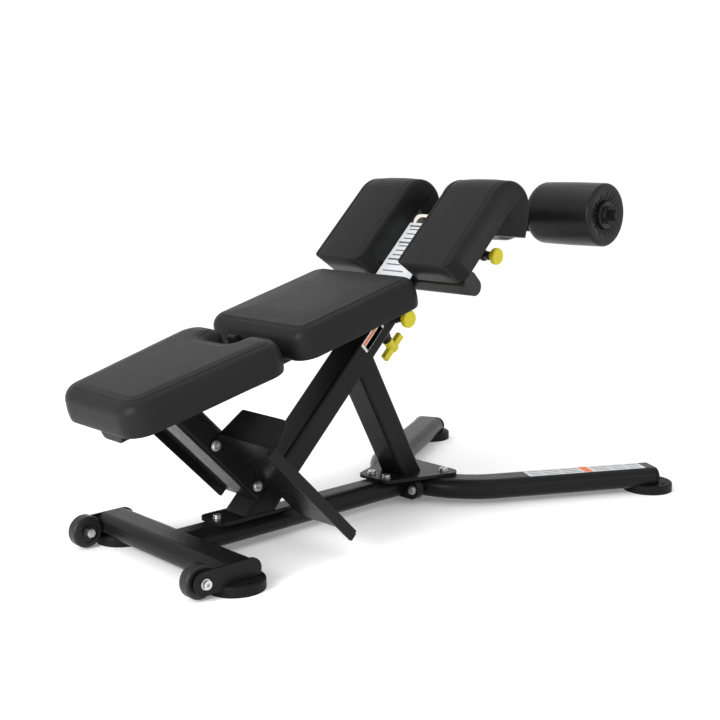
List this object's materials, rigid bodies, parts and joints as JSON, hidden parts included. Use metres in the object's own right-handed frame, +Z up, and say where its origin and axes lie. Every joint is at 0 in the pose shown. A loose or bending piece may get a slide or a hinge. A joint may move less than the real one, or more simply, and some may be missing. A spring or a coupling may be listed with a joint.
{
  "type": "roman chair",
  "caption": "Ab and back bench: hinged back pad, split thigh pads and ankle rollers on a telescoping slanted mast, with foot plates and transport wheels.",
  "frame": {"origin": "on the floor under the middle of the bounding box, in the mirror plane", "axes": "+X towards the ankle rollers, +Y to the left of a user facing +X, +Z up"},
  "size_m": [1.4346, 0.889, 0.7851],
  "materials": {
    "frame_black": "satin black powder coat",
    "pad_vinyl": "fine-grained charcoal vinyl",
    "roller_foam": "smooth charcoal foam skin",
    "board": "black painted plywood",
    "knob_yellow": "yellow moulded plastic",
    "zinc": "zinc plated",
    "steel": "bright steel",
    "pin_black": "black oxide",
    "rubber": "moulded black rubber",
    "wheel": "black wheel",
    "plastic_black": "black plastic cap",
    "liner": "natural nylon",
    "placard": "pale plate"
  },
  "bodies": {
    "frame": {"rear_stabiliser": "frame_black", "stabiliser_end_plates": "frame_black", "rear_feet": "rubber", "front_feet": "rubber", "axle_bolts": "zinc", "base_tube": "frame_black", "joint_flanges": "frame_black", "flange_bolts": "zinc", "front_leg_tube": "frame_black", "leg_end_plates": "frame_black", "mast_foot_plate": "frame_black", "base_screws": "zinc", "mast_sleeve": "frame_black", "mast_liner": "liner", "strut": "frame_black", "strut_foot_plate": "frame_black", "pad_post": "frame_black", "pad_beam": "frame_black", "foot_plates": "frame_black", "foot_plate_screws": "zinc", "lower_pad": "pad_vinyl", "lower_pad_board": "board", "hinge_bracket": "frame_black", "hinge_pin": "pin_black", "clamp_boss": "frame_black", "t_handle_spring": "steel"},
    "back_pad": {"upper_pad": "pad_vinyl", "upper_pad_board": "board", "pad_carrier": "frame_black", "hinge_bushes": "plastic_black", "latch_plate": "frame_black", "pad_pin_barrel": "pin_black", "pad_pin_spring": "steel"},
    "pad_pin": {"pad_pin_plunger": "steel", "pad_pin_knob": "knob_yellow"},
    "t_lock": {"t_plunger": "steel", "t_handle": "knob_yellow"},
    "head": {"inner_mast_tube": "frame_black", "thigh_crossbar": "frame_black", "crossbar_caps": "plastic_black", "placard_plate": "placard", "thigh_pad_left": "pad_vinyl", "thigh_pad_right": "pad_vinyl", "thigh_pad_boards": "board", "roller_sleeve": "frame_black", "sleeve_liners": "liner", "head_side_plates": "frame_black", "arm_pin_barrel": "pin_black", "arm_pin_spring": "steel"},
    "arm_pin": {"arm_pin_plunger": "steel", "arm_pin_knob": "knob_yellow"},
    "roller_arm": {"roller_arm_tube": "frame_black", "adjusting_rail": "frame_black", "roller_axle": "frame_black"},
    "roller_left": {"roller_foam_left": "roller_foam", "roller_hub_left": "plastic_black"},
    "roller_right": {"roller_foam_right": "roller_foam", "roller_hub_right": "plastic_black"},
    "wheel_left": {"wheel_left": "wheel"},
    "wheel_right": {"wheel_right": "wheel"}
  },
  "joints": [
    {"name": "back_pad_tilt", "type": "hinge", "parent": "frame", "child": "back_pad", "pos_m": [-0.33299, 0, 0.44725], "axis": [0, -1, 0], "range_deg": [0, 14]},
    {"name": "pad_pin_pull", "type": "slide", "parent": "back_pad", "child": "pad_pin", "axis": [0, -1, 0], "range_m": [0, 0.012], "stiffness_N_per_m": 900, "springref_m": -0.01, "deforming": ["pad_pin_spring"]},
    {"name": "t_lock_pull", "type": "slide", "parent": "frame", "child": "t_lock", "axis": [0.7071, 0, -0.7071], "range_m": [0, 0.01], "stiffness_N_per_m": 900, "springref_m": -0.01, "deforming": ["t_handle_spring"]},
    {"name": "head_slide", "type": "slide", "parent": "frame", "child": "head", "axis": [0.7071, 0, 0.7071], "range_m": [0, 0.15]},
    {"name": "arm_pin_pull", "type": "slide", "parent": "head", "child": "arm_pin", "axis": [0, -1, 0], "range_m": [0, 0.012], "stiffness_N_per_m": 900, "springref_m": -0.01, "deforming": ["arm_pin_spring"]},
    {"name": "roller_arm_slide", "type": "slide", "parent": "head", "child": "roller_arm", "axis": [1, 0, 0], "range_m": [-0.025, 0.05]},
    {"name": "roller_left_spin", "type": "hinge", "parent": "roller_arm", "child": "roller_left", "pos_m": [0.6213, 0, 0.6951], "axis": [0, 1, 0], "continuous": true},
    {"name": "roller_right_spin", "type": "hinge", "parent": "roller_arm", "child": "roller_right", "pos_m": [0.6213, 0, 0.6951], "axis": [0, 1, 0], "continuous": true},
    {"name": "wheel_left_spin", "type": "hinge", "parent": "frame", "child": "wheel_left", "pos_m": [-0.625, 0, 0.0385], "axis": [0, 1, 0], "continuous": true},
    {"name": "wheel_right_spin", "type": "hinge", "parent": "frame", "child": "wheel_right", "pos_m": [-0.625, 0, 0.0385], "axis": [0, 1, 0], "continuous": true}
  ]
}
